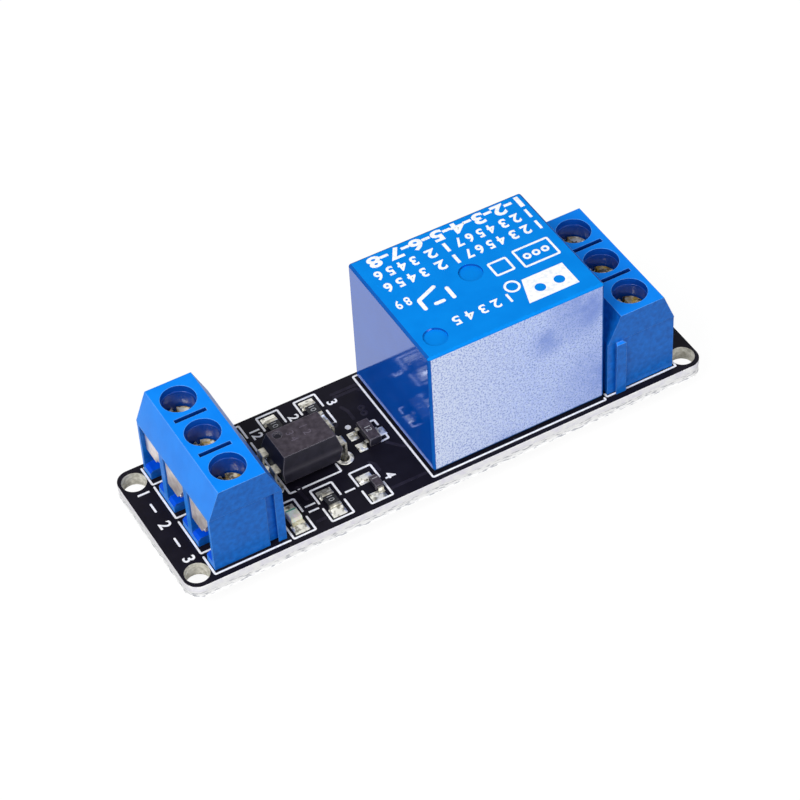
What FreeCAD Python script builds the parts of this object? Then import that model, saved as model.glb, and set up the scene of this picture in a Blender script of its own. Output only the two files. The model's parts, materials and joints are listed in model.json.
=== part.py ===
import FreeCAD, Part
import os
import math

V = FreeCAD.Vector

# Relay module board. Origin at the centre of the corner hole pattern on the
# underside of the board, +X to the output terminal block, +Y to the far long
# edge, +Z up. Millimetres.

# Board
board_length = 57.0
board_width = 17.0
board_thickness = 1.6
board_corner_radius = 1.5
mount_hole_diameter = 2.5
mount_hole_spacing_x = 53.9
mount_hole_spacing_y = 13.5
layout_y = 0.2
parts_field_length = 15.87
relay_gap = 0.47

# Through pins and their solder
pin_tip_depth = 1.8
pin_hole_clearance = 0.12
solder_cone_height = 1.3
solder_pad_margin = 0.4
solder_cone_neck = 0.1
pad_thickness = 0.05

# Relay case
relay_length = 19.2
relay_width = 15.4
relay_height = 15.3
relay_wall = 0.7
relay_roof = 0.8
relay_edge_radius = 0.3
relay_foot_height = 0.15
relay_foot_size = 1.4
relay_flange_height = 0.3
relay_flange_setback = 0.15
relay_floor_height = 1.6
gate_mark_radius = 1.2
gate_mark_depth = 0.25
gate_mark_shift_x = 0.3
gate_mark_shift_y = 0.35
gate_mark_corner_x = 2.1
gate_mark_corner_y = 2.3

# Relay pins, set in from the outer faces of the case
coil_pin_inset_x = 3.3
coil_pin_inset_y = 1.7
common_pin_inset = 1.35
contact_pin_inset = 3.7
blade_thickness = 0.6
blade_width = 1.0
coil_pin_rise = 0.6

# Relay works
yoke_thickness = 1.0
yoke_width = 8.0
yoke_wall_gap = 0.6
core_radius = 1.9
pole_radius = 2.6
pole_thickness = 0.6
winding_radius = 4.5
winding_gap = 0.1
bobbin_wall = 0.7
bobbin_flange = 0.8
bobbin_gap = 0.05
bobbin_foot_margin = 0.6
bobbin_top_margin = 0.4
bobbin_end_margin = 0.2
armature_thickness = 1.0
armature_side_step = 0.3
armature_gap = 0.32
armature_tip_width = 3.6
armature_tip_gap = 3.0
spring_thickness = 0.15
spring_width = 3.0
spring_end = 1.3
spring_tail_gap = 0.2
spring_tail_length = 2.5
contact_gap = 0.5
contact_radius = 1.0
moving_contact_step = 0.1
moving_contact_rise = 0.35
moving_contact_drop = 0.4
contact_arm_thickness = 0.5
contact_arm_width = 1.8
rivet_height = 0.4
arm_roof_gap = 0.1

# Terminal blocks
terminal_pitch = 5.08
terminal_end_margin = 2.57
terminal_depth = 7.6
terminal_height = 9.95
terminal_shoulder = 6.75
terminal_front_slope = 1.25
terminal_back_slope = 1.45
terminal_end_step = 0.08
terminal_floor = 1.1
terminal_lintel = 0.3
terminal_lip_bevel = 0.3
floor_slit_width = 1.8
floor_slit_length = 2.2
divider_thickness = 0.9
well_radius = 1.75
well_position = 3.55
well_depth = 7.85
well_bore_radius = 1.69
well_ledge_depth = 0.75
slit_length = 3.3
slit_width = 0.45
slit_depth = 2.6
dovetail_position = 6.28
dovetail_width = 0.86
dovetail_depth = 0.5
dovetail_spread = 0.22
dovetail_wall = 0.55
tongue_side_clearance = 0.16
tongue_end_clearance = 0.03
tongue_top_clearance = 0.15

# Terminal works
screw_head_radius = 1.62
screw_head_height = 1.2
input_screw_recess = 2.47
output_screw_recess = 2.07
screw_head_chamfer = 0.12
screw_slot_width = 0.44
screw_slot_depth = 0.6
cross_slot_width = 0.4
cross_slot_depth = 0.5
cross_slot_length = 2.43
screw_shank_radius = 1.05
screw_shank_clearance = 0.02
screw_travel = 1.5
screw_end_gap = 0.05
clamp_thickness = 0.3
clamp_gap = 0.05
clamp_side_gap = 0.1
clamp_front_setback = 0.15
clamp_top_gap = 0.12
clamp_back_gap = 0.4
clamp_tongue_half = 0.9
clamp_tab_drop = 0.65
clamp_cut_start = 0.1
clamp_cut_top = 0.65
loose_clamp_setback = 0.25
contact_thickness = 0.6
contact_wall = 0.4
contact_plate_thickness = 0.65
contact_pin_width = 0.9
contact_front_setback = 1.9
contact_back_gap = 0.1
contact_side_gap = 0.2

# Optocoupler
opto_position = 5.77
opto_shift_y = 0.1
opto_length = 6.5
opto_width = 4.6
opto_body_height = 3.5
opto_standoff = 0.8
opto_low_draft = 0.3
opto_top_draft_x = 0.46
opto_top_draft_y = 0.41
opto_row_spacing = 7.62
opto_pitch = 2.54
opto_lead_width = 1.1
opto_lead_thickness = 0.25
opto_lead_root = 0.25
opto_leg_width = 0.5
opto_leg_top = 0.6
opto_bend_radius = 0.2
opto_hole_clearance = 0.24
opto_dimple_radius = 0.45
opto_dimple_depth = 0.25
opto_dimple_corner_x = 1.3
opto_dimple_corner_y = 1.2

# Chip parts, their pads and solder
column_1_position = 1.67
column_2_position = 5.72
column_3_position = 9.92
far_row_shift = 5.6
near_row_shift = 5.8
chip_length = 2.0
chip_width = 1.25
chip_height = 0.5
chip_cap = 0.4
chip_pad_width = 1.56
chip_pad_inner = 0.66
chip_pad_reach = 0.9
fillet_reach = 0.72
fillet_side_step = 0.02
led_base_height = 0.3
led_height = 0.8
led_lens_step = 0.3
led_lens_draft = 0.05

# Diode
diode_shift_x = 0.55
diode_shift_y = 0.27
diode_width = 0.95
diode_length = 1.5
diode_height = 0.6
diode_standoff = 0.05
diode_belly = 0.3
diode_draft = 0.05

# Transistor
transistor_relay_gap = 2.9
transistor_shift_y = 0.12
transistor_width = 1.3
transistor_length = 2.9
transistor_height = 0.99
transistor_standoff = 0.06
transistor_belly = 0.49
transistor_draft = 0.06
transistor_lead_shift = 0.95
transistor_pad_inner = 0.72
transistor_pad_outer = 1.75
transistor_pad_width = 0.96

# Gull wing leads of the diode and the transistor
wing_thickness = 0.12
wing_root = 0.15
diode_wing_width = 0.6
diode_wing_foot = 0.45
transistor_wing_width = 0.4
transistor_wing_foot = 0.55

# Levels and places that follow
top = board_thickness
tip = -pin_tip_depth
cutter = 1.0
stack_length = 2 * terminal_depth + parts_field_length + relay_length + relay_gap
terminal_front_offset = stack_length / 2
field_start = terminal_depth - terminal_front_offset
relay_left = field_start + parts_field_length
relay_right = relay_left + relay_length
relay_x = relay_left + relay_length / 2
relay_y = layout_y
relay_near = relay_y - relay_width / 2
relay_far = relay_y + relay_width / 2

os.makedirs("parts", exist_ok=True)


def save(shape, name):
    shape.exportStep("parts/" + name + ".step")


def box(x0, x1, y0, y1, z0, z1):
    return Part.makeBox(x1 - x0, y1 - y0, z1 - z0, V(x0, y0, z0))


def post(x, y, half_x, half_y, z0, z1):
    return box(x - half_x, x + half_x, y - half_y, y + half_y, z0, z1)


def rod(x, y, z0, z1, radius):
    return Part.makeCylinder(radius, z1 - z0, V(x, y, z0))


def extrude(corners, direction):
    face = Part.Face(Part.makePolygon(corners + corners[:1]))
    return face.extrude(direction)


def plate_xz(points, y0, y1):
    return extrude([V(x, y0, z) for x, z in points], V(0, y1 - y0, 0))


def plate_yz(points, x0, x1):
    return extrude([V(x0, y, z) for y, z in points], V(x1 - x0, 0, 0))


def plate_xy(points, z0, z1):
    return extrude([V(x, y, z0) for x, y in points], V(0, 0, z1 - z0))


def taper(x, y, z0, z1, half0, half1):
    rings = []
    for z, half in ((z0, half0), (z1, half1)):
        a, b = half
        corners = [V(x - a, y - b, z), V(x + a, y - b, z), V(x + a, y + b, z), V(x - a, y + b, z)]
        rings.append(Part.makePolygon(corners + corners[:1]))
    return Part.makeLoft(rings, True, True)


def moulded_body(x, y, z0, belly, height, half, draft):
    wide = half
    narrow = (half[0] - draft, half[1] - draft)
    lower = taper(x, y, z0, z0 + belly, narrow, wide)
    upper = taper(x, y, z0 + belly, z0 + height, wide, narrow)
    return join([lower, upper])


def join(shapes):
    return shapes[0].fuse(shapes[1:]).removeSplitter()


# Every through pin: centre x, centre y, half size in x and y, radius of its hole
through_pins = []


def through_pin(x, y, half_x, half_y, clearance):
    through_pins.append((x, y, half_x, half_y, math.hypot(half_x, half_y) + clearance))


# Relay levels, from the roof down and from the floor up
relay_top = top + relay_height
ceiling_z = relay_top - relay_roof
closed_arm_top = ceiling_z - arm_roof_gap
closed_arm = closed_arm_top - contact_arm_thickness
moving_top = closed_arm - rivet_height
spring_z = moving_top - moving_contact_rise - spring_thickness
moving_bottom = spring_z - moving_contact_drop
open_top = moving_bottom - contact_gap
open_arm = open_top - rivet_height
pivot_z = spring_z - armature_thickness
pole_top = pivot_z - armature_gap
pole_bottom = pole_top - pole_thickness
flange_z = top + relay_foot_height
rim_z = flange_z + relay_flange_height
floor_z = top + relay_floor_height
yoke_top = floor_z + yoke_thickness
bobbin_foot_top = yoke_top + bobbin_flange

# Relay places
inner_x = relay_length / 2 - relay_wall
inner_y = relay_width / 2 - relay_wall
leg_out = relay_left + relay_wall + yoke_wall_gap
leg_in = leg_out + yoke_thickness
core_x = leg_in + winding_gap + winding_radius
coil_x = relay_left + coil_pin_inset_x
common_x = relay_left + common_pin_inset
key_x = relay_right - contact_pin_inset
pin_row = relay_width / 2 - coil_pin_inset_y
blade = blade_thickness / 2
blade_half = blade_width / 2
arm_half = contact_arm_width / 2


def make_yoke():
    half = yoke_width / 2
    foot = box(leg_out, core_x + pole_radius, relay_y - half, relay_y + half, floor_z, yoke_top)
    leg = box(leg_out, leg_in, relay_y - half, relay_y + half, floor_z, pivot_z)
    return join([foot, leg])


def make_core():
    stem = rod(core_x, relay_y, yoke_top, pole_top, core_radius)
    pole = rod(core_x, relay_y, pole_bottom, pole_top, pole_radius)
    return join([stem, pole])


def make_bobbin(pins):
    left = leg_in + bobbin_gap
    right = core_x + winding_radius + bobbin_end_margin
    foot_half = pin_row + bobbin_foot_margin
    top_half = winding_radius + bobbin_top_margin
    foot = box(left, right, relay_y - foot_half, relay_y + foot_half, yoke_top, bobbin_foot_top)
    head = box(left, right, relay_y - top_half, relay_y + top_half, pole_bottom - bobbin_flange, pole_bottom)
    tube = rod(core_x, relay_y, yoke_top, pole_bottom, core_radius + bobbin_wall)
    bore = rod(core_x, relay_y, yoke_top - cutter, pole_bottom + cutter, core_radius)
    return join([foot, head, tube]).cut([bore] + pins)


def make_winding():
    coil = rod(core_x, relay_y, bobbin_foot_top, pole_bottom - bobbin_flange, winding_radius)
    return coil.cut(rod(core_x, relay_y, yoke_top, pole_bottom, core_radius + bobbin_wall))


def make_coil_pin(side):
    y = relay_y + side * pin_row
    through_pin(coil_x, y, blade, blade, pin_hole_clearance)
    return post(coil_x, y, blade, blade, tip, bobbin_foot_top + coil_pin_rise)


def make_common():
    through_pin(common_x, relay_y, blade, blade_half, pin_hole_clearance)
    return post(common_x, relay_y, blade, blade_half, tip, floor_z)


def make_fixed_contact(side, arm_low, arm_high, rivet_low, rivet_high):
    y = relay_y + side * pin_row
    through_pin(key_x, y, blade_half, blade, pin_hole_clearance)
    edges = sorted((relay_y - side * contact_radius, y + side * blade))
    upright = post(key_x, y, blade_half, blade, tip, arm_high)
    arm = box(key_x - arm_half, key_x + arm_half, edges[0], edges[1], arm_low, arm_high)
    rivet = rod(key_x, relay_y, rivet_low, rivet_high, contact_radius)
    return join([upright, arm, rivet])


def make_armature():
    half = yoke_width / 2 - armature_side_step
    tip_half = armature_tip_width / 2
    shoulder = core_x + pole_radius
    end = key_x - armature_tip_gap
    return plate_xy([
        (leg_out, relay_y - half), (shoulder, relay_y - half),
        (end, relay_y - tip_half), (end, relay_y + tip_half),
        (shoulder, relay_y + half), (leg_out, relay_y + half),
    ], pivot_z, spring_z)


def make_spring():
    tail_x = leg_out - spring_tail_gap - spring_thickness
    tail_low = pivot_z - spring_tail_length
    leaf_top = spring_z + spring_thickness
    half = spring_width / 2
    leaf = box(tail_x, key_x + spring_end, relay_y - half, relay_y + half, spring_z, leaf_top)
    tail = box(tail_x, tail_x + spring_thickness, relay_y - half, relay_y + half, tail_low, leaf_top)
    return join([leaf, tail]).cut(make_moving_contact())


def make_moving_contact():
    return rod(key_x, relay_y, moving_bottom, moving_top, contact_radius - moving_contact_step)


def make_base(pins):
    floor = post(relay_x, relay_y, inner_x, inner_y, flange_z, floor_z)
    flange = post(relay_x, relay_y, relay_length / 2 - relay_flange_setback,
                  relay_width / 2 - relay_flange_setback, flange_z, rim_z)
    feet = []
    for side_x in (-1, 1):
        for side_y in (-1, 1):
            x = relay_x + side_x * (inner_x - relay_foot_size / 2)
            y = relay_y + side_y * (inner_y - relay_foot_size / 2)
            feet.append(post(x, y, relay_foot_size / 2, relay_foot_size / 2, top, floor_z))
    return join([floor, flange] + feet).cut(pins)


def make_cover():
    shell = box(relay_left, relay_right, relay_near, relay_far, rim_z, relay_top)
    round_edges = [e for e in shell.Edges if e.BoundBox.ZMax > relay_top - relay_edge_radius]
    shell = shell.makeFillet(relay_edge_radius, round_edges)
    shell = shell.cut(post(relay_x, relay_y, inner_x, inner_y, rim_z - cutter, ceiling_z))
    gate_marks = (
        (relay_x - gate_mark_shift_x, relay_y + gate_mark_shift_y),
        (relay_left + gate_mark_corner_x, relay_near + gate_mark_corner_y),
    )
    for x, y in gate_marks:
        shell = shell.cut(rod(x, y, relay_top - gate_mark_depth, relay_top + cutter, gate_mark_radius))
    return shell


coil_pins = [make_coil_pin(side) for side in (-1, 1)]
common = make_common()
normally_closed = make_fixed_contact(1, closed_arm, closed_arm_top, moving_top, closed_arm)
normally_open = make_fixed_contact(-1, open_arm - contact_arm_thickness, open_arm, open_arm, open_top)

save(make_cover(), "relay_cover")
save(make_base(coil_pins + [common, normally_closed, normally_open]), "relay_base")
save(make_yoke(), "yoke")
save(make_core(), "coil_core")
save(make_bobbin(coil_pins), "coil_bobbin")
save(make_winding(), "coil_winding")
save(coil_pins[0], "coil_pin_1")
save(coil_pins[1], "coil_pin_2")
save(common, "common_terminal")
save(normally_closed, "normally_closed_terminal")
save(normally_open, "normally_open_terminal")
save(make_armature(), "armature")
save(make_spring(), "contact_spring")
save(make_moving_contact(), "moving_contact")

# Terminal block, drawn once with x as depth from the wire side, y along the
# block and z above the board, then set at both ends of the board
cells = (terminal_pitch, 0.0, -terminal_pitch)
block_half = terminal_pitch + terminal_end_margin
panel_half = block_half - terminal_end_step
opening_half = terminal_pitch / 2 - divider_thickness / 2
lintel_z = terminal_shoulder - terminal_lintel
chamber_back = dovetail_position - dovetail_width / 2 - dovetail_wall
pin_half = contact_pin_width / 2

lowest_head = terminal_height - max(input_screw_recess, output_screw_recess) - screw_head_height
plate_top = lowest_head - screw_travel - screw_end_gap
plate_bottom = plate_top - contact_plate_thickness
clamp_top = plate_bottom - clamp_gap
clamp_bottom = clamp_top - clamp_thickness
frame_front = contact_front_setback
frame_back = chamber_back - contact_back_gap
frame_half = opening_half - contact_side_gap


def block_profile(y0, y1):
    return plate_xz([
        (0, 0), (terminal_depth, 0), (terminal_depth, terminal_shoulder),
        (terminal_depth - terminal_back_slope, terminal_height),
        (terminal_front_slope, terminal_height), (0, terminal_shoulder),
    ], y0, y1)


def dovetail(y_root, y_tip, root, z1):
    root_half = root / 2
    tip_half = root / 2 + dovetail_spread
    return plate_xy([
        (dovetail_position - root_half, y_root), (dovetail_position + root_half, y_root),
        (dovetail_position + tip_half, y_tip), (dovetail_position - tip_half, y_tip),
    ], 0, z1)


def cell_tools(y):
    chamber = box(-cutter, chamber_back, y - opening_half, y + opening_half, terminal_floor, lintel_z)
    well = rod(well_position, y, terminal_height - well_ledge_depth, terminal_height + cutter, well_radius)
    bore = rod(well_position, y, terminal_height - well_depth, terminal_height, well_bore_radius)
    floor_slit = box(-cutter, floor_slit_length, y - floor_slit_width / 2, y + floor_slit_width / 2,
                     -cutter, terminal_floor)
    lip_bevel = plate_xz([
        (-cutter, terminal_floor - terminal_lip_bevel - cutter),
        (terminal_lip_bevel + cutter, terminal_floor + cutter),
        (-cutter, terminal_floor + cutter),
    ], y - opening_half, y + opening_half)
    pin_hole = post(well_position, y, pin_half, pin_half, -cutter, terminal_floor)
    return [chamber, well, bore, floor_slit, lip_bevel, pin_hole]


def make_housing():
    tools = []
    # Ends below the shoulder stand back a little
    for y0, y1 in ((-block_half - cutter, -panel_half), (panel_half, block_half + cutter)):
        tools.append(box(-cutter, terminal_depth + cutter, y0, y1, -cutter, terminal_shoulder))
    for y in cells:
        tools += cell_tools(y)
    for y in (terminal_pitch / 2, -terminal_pitch / 2):
        tools.append(post(well_position, y, slit_length / 2, slit_width / 2,
                          terminal_height - slit_depth, terminal_height + cutter))
    tools.append(dovetail(-panel_half, dovetail_depth - panel_half, dovetail_width, terminal_shoulder))
    tongue = dovetail(panel_half, panel_half + dovetail_depth - tongue_end_clearance,
                      dovetail_width - tongue_side_clearance, terminal_shoulder - tongue_top_clearance)
    return join([block_profile(-block_half, block_half).cut(tools), tongue])


def make_contact():
    strip_top = terminal_floor + contact_thickness
    strip = box(frame_front, frame_back, -frame_half, frame_half, terminal_floor, strip_top)
    plate = box(frame_front, frame_back, -frame_half, frame_half, plate_bottom, plate_top)
    near = box(frame_front, frame_back, -frame_half, contact_wall - frame_half, terminal_floor, plate_top)
    far = box(frame_front, frame_back, frame_half - contact_wall, frame_half, terminal_floor, plate_top)
    pin = post(well_position, 0, pin_half, pin_half, tip - top, terminal_floor)
    hole = rod(well_position, 0, plate_bottom, plate_top, screw_shank_radius + screw_shank_clearance)
    return join([strip, plate, near, far, pin]).cut(hole)


def make_clamp():
    tab_half = opening_half - clamp_side_gap
    tab_top = lintel_z - clamp_top_gap
    tab_bottom = clamp_bottom - clamp_tab_drop
    front = clamp_front_setback
    # The guard tab has one lower corner cut away at a long slant
    tab = plate_yz([
        (tab_half, tab_bottom), (-clamp_cut_start, tab_bottom),
        (-tab_half, tab_top - clamp_cut_top), (-tab_half, tab_top), (tab_half, tab_top),
    ], front, front + clamp_thickness)
    tongue = box(front, frame_back - clamp_back_gap, -clamp_tongue_half, clamp_tongue_half,
                 clamp_bottom, clamp_top)
    return join([tab, tongue])


def make_screw(recess):
    head_top = terminal_height - recess
    head_bottom = head_top - screw_head_height
    head = rod(well_position, 0, head_bottom, head_top, screw_head_radius)
    rim = [e for e in head.Edges if e.BoundBox.ZMin > head_top - screw_head_chamfer and len(e.Vertexes) == 1]
    head = head.makeChamfer(screw_head_chamfer, rim)
    main_slot = post(well_position, 0, screw_slot_width / 2, screw_head_radius + cutter,
                     head_top - screw_slot_depth, head_top + cutter)
    cross_slot = post(well_position, 0, cross_slot_length / 2, cross_slot_width / 2,
                      head_top - cross_slot_depth, head_top + cutter)
    shank = rod(well_position, 0, clamp_top, head_bottom, screw_shank_radius)
    return join([head.cut([main_slot, cross_slot]), shank])


def place(shape, side, dy=0.0, dx=0.0):
    copy = shape.copy()
    copy.translate(V(dx, dy, 0))
    if side > 0:
        copy.rotate(V(0, 0, 0), V(0, 0, 1), 180)
    copy.translate(V(side * terminal_front_offset, layout_y, top))
    return copy


housing = make_housing()
contact = make_contact()
clamp = make_clamp()
for side, name, recess in ((-1, "input", input_screw_recess), (1, "output", output_screw_recess)):
    screw = make_screw(recess)
    save(place(housing, side), name + "_housing")
    for number, y in enumerate(cells, start=1):
        # The guard tab at the far end of the input block sits back from the others
        setback = loose_clamp_setback if (name, number) == ("input", 1) else 0.0
        save(place(contact, side, y), name + "_contact_" + str(number))
        save(place(clamp, side, y, setback), name + "_clamp_" + str(number))
        save(place(screw, side, y), name + "_screw_" + str(number))
        through_pin(side * (terminal_front_offset - well_position), layout_y - side * y,
                    pin_half, pin_half, pin_hole_clearance)

# Optocoupler: tapered body with a parting line, four leads through the board
opto_x = field_start + opto_position
opto_y = layout_y - opto_shift_y
opto_low = top + opto_standoff
opto_high = opto_low + opto_body_height
opto_mid = opto_low + opto_body_height / 2
opto_holes = []


def make_opto_lead(side, row):
    y = opto_y + row * opto_pitch / 2
    half = opto_lead_thickness / 2
    x = opto_x + side * opto_row_spacing / 2
    outer = x + side * half
    root = opto_x + side * (opto_length / 2 - opto_lead_root)
    shoulder = box(min(root, outer), max(root, outer), y - opto_lead_width / 2, y + opto_lead_width / 2,
                   opto_mid - half, opto_mid + half)
    drop = post(x, y, half, opto_lead_width / 2, top + opto_leg_top, opto_mid + half)
    leg = post(x, y, half, opto_leg_width / 2, tip, top + opto_leg_top)
    lead = join([shoulder, drop, leg])
    corner = [e for e in lead.Edges if e.BoundBox.ZMin > opto_mid
              and abs(e.BoundBox.XMin - outer) < half
              and abs(e.BoundBox.XMax - outer) < half]
    through_pin(x, y, half, opto_leg_width / 2, opto_hole_clearance)
    opto_holes.append(through_pins[-1])
    return lead.makeFillet(opto_bend_radius, corner)


def make_opto_body(leads):
    full = (opto_length / 2, opto_width / 2)
    low = (full[0] - opto_low_draft, full[1] - opto_low_draft)
    high = (full[0] - opto_top_draft_x, full[1] - opto_top_draft_y)
    lower = taper(opto_x, opto_y, opto_low, opto_mid, low, full)
    upper = taper(opto_x, opto_y, opto_mid, opto_high, full, high)
    dimple = rod(opto_x - full[0] + opto_dimple_corner_x, opto_y + full[1] - opto_dimple_corner_y,
                 opto_high - opto_dimple_depth, opto_high + cutter, opto_dimple_radius)
    return join([lower, upper]).cut([dimple] + leads)


opto_leads = [make_opto_lead(side, row) for side in (-1, 1) for row in (-1, 1)]
save(make_opto_body(opto_leads), "optocoupler_body")
save(Part.makeCompound(opto_leads), "optocoupler_leads")

# Chip parts lie along Y on two pads each
chip_z = top + pad_thickness
chip_end = chip_length / 2
top_solder = []


def chip_pads(x, y):
    centre = (chip_pad_inner + chip_end + chip_pad_reach) / 2
    half = (chip_end + chip_pad_reach - chip_pad_inner) / 2
    for row in (-1, 1):
        top_solder.append(post(x, y + row * centre, chip_pad_width / 2, half, top, chip_z))


def end_fillets(x, y, height):
    half = chip_width / 2 - fillet_side_step
    for row in (-1, 1):
        end = y + row * chip_end
        profile = [(end, chip_z), (end + row * fillet_reach, chip_z),
                   (end + row * fillet_reach * 0.3, chip_z + height * 0.42), (end, chip_z + height)]
        top_solder.append(plate_yz(profile, x - half, x + half))


def make_resistor(x, y):
    middle = post(x, y, chip_width / 2, chip_end - chip_cap, chip_z, chip_z + chip_height)
    caps = []
    for row in (-1, 1):
        caps.append(post(x, y + row * (chip_end - chip_cap / 2), chip_width / 2, chip_cap / 2,
                         chip_z, chip_z + chip_height))
    chip_pads(x, y)
    end_fillets(x, y, chip_height * 0.75)
    return middle, Part.makeCompound(caps)


def make_led(x, y):
    base = post(x, y, chip_width / 2, chip_end, chip_z, chip_z + led_base_height)
    foot = (chip_width / 2, chip_end - led_lens_step)
    crown = (foot[0] - led_lens_draft, foot[1] - led_lens_draft)
    lens = taper(x, y, chip_z + led_base_height, chip_z + led_height, foot, crown)
    chip_pads(x, y)
    end_fillets(x, y, led_base_height * 0.9)
    return base, lens


def gull_wing(root, height, foot):
    high = height + wing_thickness / 2
    low = height - wing_thickness / 2
    knee = foot - 2 * wing_thickness
    return [(root, low), (knee - wing_thickness, low), (knee - wing_thickness, 0), (foot, 0),
            (foot, wing_thickness), (knee, wing_thickness), (knee, high), (root, high)]


far_row = layout_y + far_row_shift
near_row = layout_y - near_row_shift
column_1 = field_start + column_1_position
column_2 = field_start + column_2_position
column_3 = field_start + column_3_position

for number, x, y in ((1, column_2, near_row), (2, column_2, far_row), (3, column_3, far_row)):
    middle, caps = make_resistor(x, y)
    save(middle, "resistor_" + str(number) + "_body")
    save(caps, "resistor_" + str(number) + "_caps")
for number, y in ((1, near_row), (2, far_row)):
    base, lens = make_led(column_1, y)
    save(base, "led_" + str(number) + "_base")
    save(lens, "led_" + str(number) + "_lens")

# Diode, set a little to the right of its pads
diode_x = column_3 + diode_shift_x
diode_y = near_row - diode_shift_y
diode_z = chip_z + diode_standoff
diode_end = diode_length / 2
diode = moulded_body(diode_x, diode_y, diode_z, diode_belly, diode_height,
                     (diode_width / 2, diode_end), diode_draft)
diode_leads = []
for row in (-1, 1):
    outline = gull_wing(diode_end - wing_root, diode_standoff + diode_belly, diode_end + diode_wing_foot)
    profile = [(diode_y + row * a, chip_z + b) for a, b in outline]
    diode_leads.append(plate_yz(profile, diode_x - diode_wing_width / 2, diode_x + diode_wing_width / 2))
chip_pads(column_3, near_row)
save(diode.cut(diode_leads), "diode_body")
save(Part.makeCompound(diode_leads), "diode_leads")

# Transistor: two leads on the left, one on the right
transistor_x = relay_left - transistor_relay_gap
transistor_y = layout_y - transistor_shift_y
transistor_z = chip_z + transistor_standoff
transistor_side = transistor_width / 2
transistor = moulded_body(transistor_x, transistor_y, transistor_z, transistor_belly, transistor_height,
                          (transistor_side, transistor_length / 2), transistor_draft)
transistor_leads = []
for side, shift in ((-1, transistor_lead_shift), (-1, -transistor_lead_shift), (1, 0.0)):
    y = transistor_y + shift
    outline = gull_wing(transistor_side - wing_root, transistor_standoff + transistor_belly,
                        transistor_side + transistor_wing_foot)
    profile = [(transistor_x + side * a, chip_z + b) for a, b in outline]
    transistor_leads.append(plate_xz(profile, y - transistor_wing_width / 2, y + transistor_wing_width / 2))
    pad_x = transistor_x + side * (transistor_pad_inner + transistor_pad_outer) / 2
    pad_half = (transistor_pad_outer - transistor_pad_inner) / 2
    top_solder.append(post(pad_x, y, pad_half, transistor_pad_width / 2, top, chip_z))
save(transistor.cut(transistor_leads), "transistor_body")
save(Part.makeCompound(transistor_leads), "transistor_leads")

# Solder on the top: pads, chip fillets and the rings round the lead holes
for x, y, half_x, half_y, radius in opto_holes:
    ring = rod(x, y, top, top + pad_thickness, radius + solder_pad_margin)
    top_solder.append(ring.cut(rod(x, y, top, top + pad_thickness, radius)))
save(Part.makeCompound(top_solder), "top_solder")


def make_board():
    plate = box(-board_length / 2, board_length / 2, -board_width / 2, board_width / 2, 0, top)
    upright = [e for e in plate.Edges if e.BoundBox.ZLength > board_thickness / 2]
    drills = []
    for side_x in (-1, 1):
        for side_y in (-1, 1):
            drills.append(rod(side_x * mount_hole_spacing_x / 2, side_y * mount_hole_spacing_y / 2,
                              -cutter, top + cutter, mount_hole_diameter / 2))
    for x, y, half_x, half_y, radius in through_pins:
        drills.append(rod(x, y, -cutter, top + cutter, radius))
    return plate.makeFillet(board_corner_radius, upright).cut(drills)


def make_solder_cone(x, y, half_x, half_y, radius):
    neck = math.hypot(half_x, half_y) + solder_cone_neck
    cone = Part.makeCone(neck, radius + solder_pad_margin, solder_cone_height, V(x, y, -solder_cone_height))
    return cone.cut(post(x, y, half_x, half_y, -solder_cone_height, 0))


save(make_board(), "circuit_board")
save(Part.makeCompound([make_solder_cone(*pin) for pin in through_pins]), "underside_solder")
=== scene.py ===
import json
import math

import bmesh
import bpy
from mathutils import Matrix, Vector, noise


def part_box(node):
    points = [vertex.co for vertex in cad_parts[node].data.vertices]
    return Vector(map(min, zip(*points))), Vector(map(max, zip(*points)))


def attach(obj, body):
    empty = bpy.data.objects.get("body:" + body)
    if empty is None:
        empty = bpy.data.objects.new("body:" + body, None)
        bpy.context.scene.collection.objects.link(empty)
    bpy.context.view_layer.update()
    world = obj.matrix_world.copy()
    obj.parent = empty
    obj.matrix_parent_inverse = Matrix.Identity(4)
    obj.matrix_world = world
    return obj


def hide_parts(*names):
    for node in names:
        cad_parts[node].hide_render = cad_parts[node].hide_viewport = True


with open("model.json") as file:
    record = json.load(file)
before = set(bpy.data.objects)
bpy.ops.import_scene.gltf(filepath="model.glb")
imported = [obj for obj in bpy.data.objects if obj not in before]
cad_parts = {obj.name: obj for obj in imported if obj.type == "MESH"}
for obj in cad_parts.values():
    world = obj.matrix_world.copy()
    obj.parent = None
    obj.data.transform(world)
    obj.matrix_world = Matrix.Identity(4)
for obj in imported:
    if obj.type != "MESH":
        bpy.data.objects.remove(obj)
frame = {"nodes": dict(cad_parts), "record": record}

MM = 0.001
SHARP_EDGE = math.radians(35)
MERGE_DISTANCE = 0.0005
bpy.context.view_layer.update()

# Which body and which record slot each node belongs to
body_of = {}
for body, members in frame["record"]["behaviour"]["bodies"].items():
    for member in members:
        body_of[member] = body
slot_of = {part["node"]: part["material_slot"] for part in frame["record"]["subparts"]}


def span(node):
    """Lowest and highest corner of a node, in millimetres."""
    low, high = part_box(node)
    return Vector(low) / MM, Vector(high) / MM


def middle(node):
    low, high = span(node)
    return (low + high) / 2


board_low, board_high = span("circuit_board")
case_low, case_high = span("relay_cover")
TOP = board_high.z
UNDER = board_low.z
PAD_THICKNESS = 0.05
INK_HEIGHT = 0.014
FAINT_HEIGHT = 0.006
TRACK_RISE = 0.009
# Directions in which rows of digits run
TOWARDS_NEAR = (0, -1)
TOWARDS_LEFT = (-1, 0)


# Colours and nodes

def srgb(code):
    """An sRGB hex colour as the linear colour that a shader takes."""
    channels = []
    for start in (0, 2, 4):
        value = int(code[start:start + 2], 16) / 255
        channels.append(value / 12.92 if value <= 0.04045 else ((value + 0.055) / 1.055) ** 2.4)
    return (*channels, 1.0)


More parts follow.
